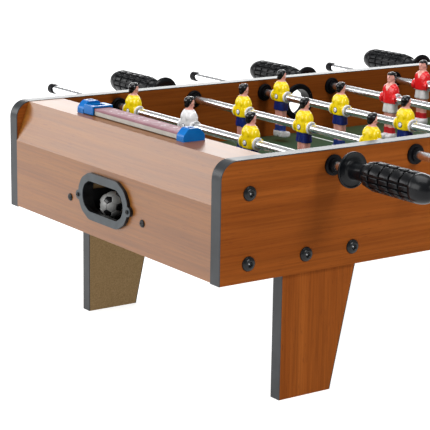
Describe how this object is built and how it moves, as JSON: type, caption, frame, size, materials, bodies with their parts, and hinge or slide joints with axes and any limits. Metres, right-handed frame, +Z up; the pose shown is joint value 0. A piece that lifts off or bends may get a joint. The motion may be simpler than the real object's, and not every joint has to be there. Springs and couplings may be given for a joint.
{
  "type": "foosball table",
  "caption": "Table-top foosball table on four board legs, with sliding and spinning rods of players, ball cups and sliding scorers.",
  "frame": {"origin": "on the surface the table stands on, under its centre", "axes": "+X along the pitch from goal to goal, +Y across it along the rods, +Z up"},
  "size_m": [0.71, 0.652, 0.2375],
  "materials": {
    "laminate": "wood-grain laminate on fibreboard",
    "leg_laminate": "wood-grain laminate outside, raw board inside",
    "raw_board": "raw fibreboard",
    "edging": "satin grey edge band",
    "field": "printed green hardboard with white lines",
    "cup_plastic": "moulded dark grey",
    "black_plastic": "moulded black",
    "black_steel": "black coated steel",
    "brass": "turned",
    "screw_steel": "zinc plated",
    "blue_plastic": "moulded blue",
    "score_bar": "light bar with a mauve numbered strip",
    "ball": "white with black spots",
    "rod_chrome": "chromed steel tube",
    "handle_grip": "moulded black grip",
    "men_yellow": "painted figures, yellow team",
    "men_red": "painted figures, red team"
  },
  "bodies": {
    "root": {"back_left_leg": "leg_laminate", "back_right_leg": "leg_laminate", "back_side_wall": "laminate", "bolt_inserts": "brass", "bushing_rings": "black_plastic", "corner_blocks": "raw_board", "corner_bolts": "black_steel", "cup_screws": "black_steel", "field_board": "field", "front_left_leg": "leg_laminate", "front_right_leg": "leg_laminate", "front_side_wall": "laminate", "goal_cheeks": "raw_board", "left_ball_cup": "cup_plastic", "left_end_ledge": "laminate", "left_end_panel": "laminate", "left_end_slope": "laminate", "left_goal_board": "laminate", "leg_bolts": "black_steel", "leg_edging": "edging", "panel_screws": "black_steel", "right_ball_cup": "cup_plastic", "right_end_ledge": "laminate", "right_end_panel": "laminate", "right_end_slope": "laminate", "right_goal_board": "laminate", "rod_bushings": "black_plastic", "score_bars": "score_bar", "score_brackets": "blue_plastic", "score_screws": "screw_steel", "serve_collars": "black_plastic", "serve_rings": "black_plastic", "wall_edging": "edging"},
    "rod_1_carrier": {"rod_1_cap": "black_plastic"},
    "rod_1": {"rod_1_tube": "rod_chrome", "rod_1_men": "men_yellow", "rod_1_handle": "handle_grip"},
    "rod_2_carrier": {"rod_2_cap": "black_plastic"},
    "rod_2": {"rod_2_tube": "rod_chrome", "rod_2_men": "men_yellow", "rod_2_handle": "handle_grip"},
    "rod_3_carrier": {"rod_3_cap": "black_plastic"},
    "rod_3": {"rod_3_tube": "rod_chrome", "rod_3_men": "men_yellow", "rod_3_handle": "handle_grip"},
    "rod_4_carrier": {"rod_4_cap": "black_plastic"},
    "rod_4": {"rod_4_tube": "rod_chrome", "rod_4_men": "men_red", "rod_4_handle": "handle_grip"},
    "rod_5_carrier": {"rod_5_cap": "black_plastic"},
    "rod_5": {"rod_5_tube": "rod_chrome", "rod_5_men": "men_red", "rod_5_handle": "handle_grip"},
    "rod_6_carrier": {"rod_6_cap": "black_plastic"},
    "rod_6": {"rod_6_tube": "rod_chrome", "rod_6_men": "men_red", "rod_6_handle": "handle_grip"},
    "left_slider": {"left_score_slider": "blue_plastic"},
    "right_slider": {"right_score_slider": "blue_plastic"},
    "ball": {"game_ball": "ball"}
  },
  "joints": [
    {"name": "rod_1_slide", "type": "slide", "parent": "root", "child": "rod_1_carrier", "axis": [0, 1, 0], "range_m": [-0.0865, 0.0095]},
    {"name": "rod_1_spin", "type": "hinge", "parent": "rod_1_carrier", "child": "rod_1", "pos_m": [-0.2325, 0, 0.208], "axis": [0, 1, 0], "continuous": true},
    {"name": "rod_2_slide", "type": "slide", "parent": "root", "child": "rod_2_carrier", "axis": [0, 1, 0], "range_m": [-0.0265, 0.0695]},
    {"name": "rod_2_spin", "type": "hinge", "parent": "rod_2_carrier", "child": "rod_2", "pos_m": [-0.1395, 0, 0.208], "axis": [0, 1, 0], "continuous": true},
    {"name": "rod_3_slide", "type": "slide", "parent": "root", "child": "rod_3_carrier", "axis": [0, 1, 0], "range_m": [-0.0855, 0.0105]},
    {"name": "rod_3_spin", "type": "hinge", "parent": "rod_3_carrier", "child": "rod_3", "pos_m": [-0.0465, 0, 0.208], "axis": [0, 1, 0], "continuous": true},
    {"name": "rod_4_slide", "type": "slide", "parent": "root", "child": "rod_4_carrier", "axis": [0, 1, 0], "range_m": [-0.015, 0.081]},
    {"name": "rod_4_spin", "type": "hinge", "parent": "rod_4_carrier", "child": "rod_4", "pos_m": [0.0465, 0, 0.208], "axis": [0, 1, 0], "continuous": true},
    {"name": "rod_5_slide", "type": "slide", "parent": "root", "child": "rod_5_carrier", "axis": [0, 1, 0], "range_m": [-0.068, 0.028]},
    {"name": "rod_5_spin", "type": "hinge", "parent": "rod_5_carrier", "child": "rod_5", "pos_m": [0.1395, 0, 0.208], "axis": [0, 1, 0], "continuous": true},
    {"name": "rod_6_slide", "type": "slide", "parent": "root", "child": "rod_6_carrier", "axis": [0, 1, 0], "range_m": [-0.028, 0.068]},
    {"name": "rod_6_spin", "type": "hinge", "parent": "rod_6_carrier", "child": "rod_6", "pos_m": [0.2325, 0, 0.208], "axis": [0, 1, 0], "continuous": true},
    {"name": "left_score_slide", "type": "slide", "parent": "root", "child": "left_slider", "axis": [0, 1, 0], "range_m": [-0.1408, 0]},
    {"name": "right_score_slide", "type": "slide", "parent": "root", "child": "right_slider", "axis": [0, 1, 0], "range_m": [-0.1408, 0]},
    {"name": "ball_roll", "type": "slide", "parent": "root", "child": "ball", "axis": [0, 1, 0], "range_m": [-0.0495, 0.0008]}
  ]
}
